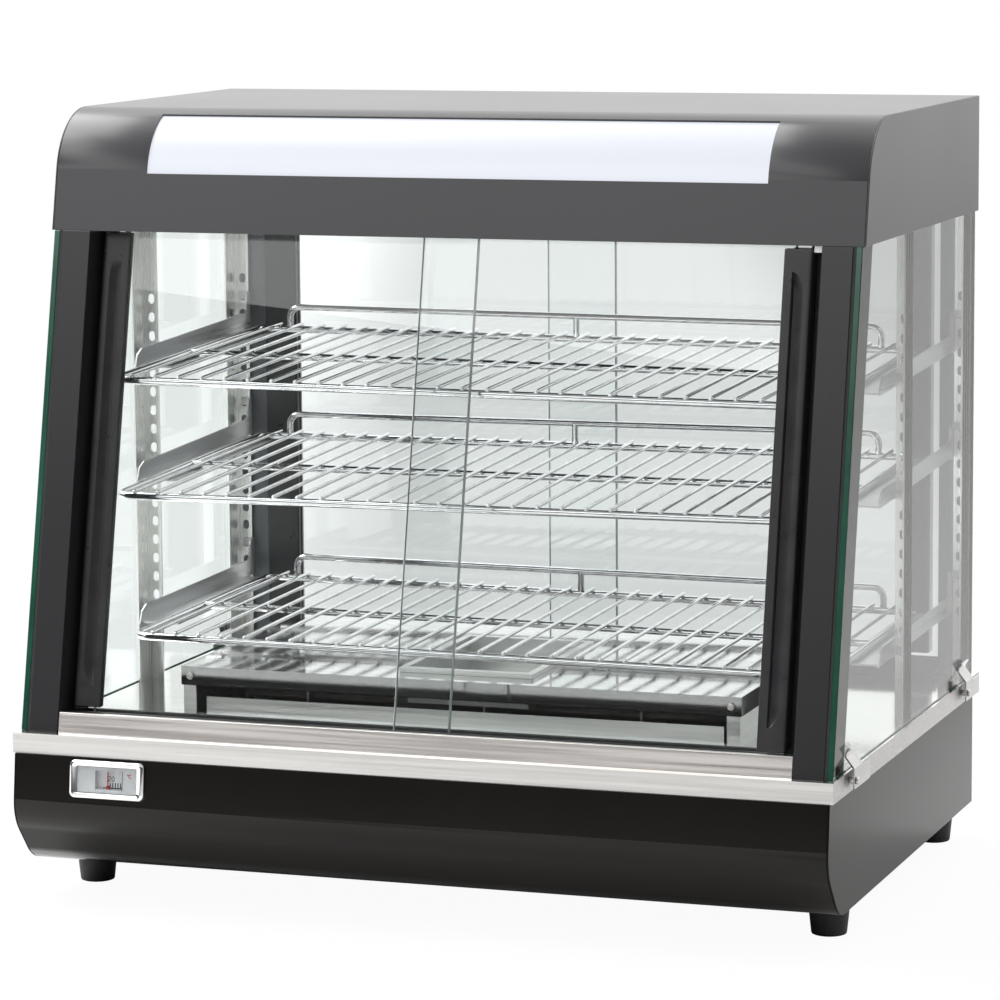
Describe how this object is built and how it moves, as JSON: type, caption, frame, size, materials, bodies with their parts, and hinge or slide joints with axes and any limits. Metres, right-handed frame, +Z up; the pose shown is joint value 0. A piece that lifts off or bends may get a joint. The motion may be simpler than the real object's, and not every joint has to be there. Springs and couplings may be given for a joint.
{
  "type": "hot food display case",
  "caption": "Countertop heated display case with a heated base, slanted and upright sliding glass doors, glass sides, sloping wire shelves and a lit canopy.",
  "frame": {"origin": "on the table under the feet, midway between the outer sides and midway between the front and back edges of the deck", "axes": "+X to the right seen from the front, +Y from the front to the back, +Z up"},
  "size_m": [0.6746, 0.4837, 0.615],
  "materials": {
    "black_enamel": "satin black enamel",
    "stainless": "fine brushed stainless",
    "mirror_stainless": "polished stainless",
    "bright_wire": "bright plated wire",
    "standard_steel": "bright sheet steel",
    "bracket_steel": "satin sheet steel",
    "element_steel": "heat-darkened steel",
    "post_grey": "dark grey anodised",
    "handle_plastic": "dark grey moulded",
    "track_plastic": "black extruded",
    "clip_steel": "bright spring steel",
    "gasket_rubber": "black seal",
    "foot_rubber": "black moulded",
    "side_pane": "clear tempered, green at the edge",
    "door_pane": "clear tempered, green at the edge",
    "diffuser_plastic": "lit, milky white",
    "tube_glass": "white phosphor tube",
    "holder_plastic": "white moulded",
    "screw_steel": "zinc plated",
    "control_plastic": "black moulded",
    "red_plastic": "red moulded",
    "bezel_chrome": "bright plated",
    "dial_plastic": "pale printed scale",
    "lens_plastic": "clear"
  },
  "bodies": {
    "case": {"base_shell": "black_enamel", "base_side_left": "black_enamel", "base_side_right": "black_enamel", "base_rear_panel": "black_enamel", "deck_tray": "stainless", "front_sill": "stainless", "heater_box": "mirror_stainless", "heater_cover": "mirror_stainless", "heating_element": "element_steel", "element_supports": "stainless", "thermostat": "control_plastic", "switch_bodies": "control_plastic", "power_inlet": "control_plastic", "light_tube": "tube_glass", "tube_holders": "holder_plastic", "canopy_shell": "black_enamel", "canopy_side_left": "black_enamel", "canopy_side_right": "black_enamel", "canopy_floor": "black_enamel", "diffuser": "diffuser_plastic", "thermometer_bezel": "bezel_chrome", "thermometer_housing": "dial_plastic", "thermometer_lens": "lens_plastic", "foot_front_left": "foot_rubber", "foot_front_right": "foot_rubber", "foot_rear_left": "foot_rubber", "foot_rear_right": "foot_rubber", "foot_screws": "screw_steel", "front_post_left": "post_grey", "front_post_right": "post_grey", "rear_post_left": "post_grey", "rear_post_right": "post_grey", "standards_left": "standard_steel", "standards_right": "standard_steel", "top_brackets": "bracket_steel", "middle_brackets": "bracket_steel", "lower_brackets": "bracket_steel", "side_glass_left": "side_pane", "side_glass_right": "side_pane", "glass_clips": "clip_steel", "glass_gaskets": "gasket_rubber", "front_tracks": "track_plastic", "rear_tracks": "track_plastic", "small_screws": "screw_steel"},
    "front_door_left": {"front_door_glass_left": "door_pane", "front_door_handle_left": "handle_plastic"},
    "front_door_right": {"front_door_glass_right": "door_pane", "front_door_handle_right": "handle_plastic"},
    "rear_door_left": {"rear_door_glass_left": "door_pane", "rear_door_handle_left": "handle_plastic"},
    "rear_door_right": {"rear_door_glass_right": "door_pane", "rear_door_handle_right": "handle_plastic"},
    "shelf_top": {"top_shelf": "bright_wire"},
    "shelf_middle": {"middle_shelf": "bright_wire"},
    "shelf_lower": {"lower_shelf": "bright_wire"},
    "pan": {"water_pan": "mirror_stainless"},
    "knob": {"thermostat_knob": "control_plastic"},
    "heat_switch": {"heat_rocker": "red_plastic"},
    "light_switch": {"light_rocker": "control_plastic"},
    "needle": {"thermometer_needle": "red_plastic"}
  },
  "joints": [
    {"name": "front_door_left_slide", "type": "slide", "parent": "case", "child": "front_door_left", "axis": [1, 0, 0], "range_m": [0, 0.25]},
    {"name": "front_door_right_slide", "type": "slide", "parent": "case", "child": "front_door_right", "axis": [-1, 0, 0], "range_m": [0, 0.25]},
    {"name": "rear_door_left_slide", "type": "slide", "parent": "case", "child": "rear_door_left", "axis": [1, 0, 0], "range_m": [0, 0.25]},
    {"name": "rear_door_right_slide", "type": "slide", "parent": "case", "child": "rear_door_right", "axis": [-1, 0, 0], "range_m": [0, 0.25]},
    {"name": "top_shelf_lift", "type": "slide", "parent": "case", "child": "shelf_top", "axis": [0, 0, 1], "range_m": [0, 0.018]},
    {"name": "middle_shelf_lift", "type": "slide", "parent": "case", "child": "shelf_middle", "axis": [0, 0, 1], "range_m": [0, 0.03]},
    {"name": "lower_shelf_lift", "type": "slide", "parent": "case", "child": "shelf_lower", "axis": [0, 0, 1], "range_m": [0, 0.03]},
    {"name": "water_pan_lift", "type": "slide", "parent": "case", "child": "pan", "axis": [0, 0, 1], "range_m": [0, 0.008]},
    {"name": "thermostat_turn", "type": "hinge", "parent": "case", "child": "knob", "pos_m": [-0.205, 0.2235, 0.078], "axis": [0, -1, 0], "range_deg": [0, 270]},
    {"name": "heat_switch_rock", "type": "hinge", "parent": "case", "child": "heat_switch", "pos_m": [-0.13, 0.222, 0.078], "axis": [-1, 0, 0], "range_deg": [0, 20]},
    {"name": "light_switch_rock", "type": "hinge", "parent": "case", "child": "light_switch", "pos_m": [-0.088, 0.222, 0.078], "axis": [-1, 0, 0], "range_deg": [0, 20]},
    {"name": "thermometer_swing", "type": "hinge", "parent": "case", "child": "needle", "pos_m": [-0.2483, -0.24141, 0.09744], "axis": [0, 0.9936, -0.1132], "range_deg": [-20, 40]}
  ]
}
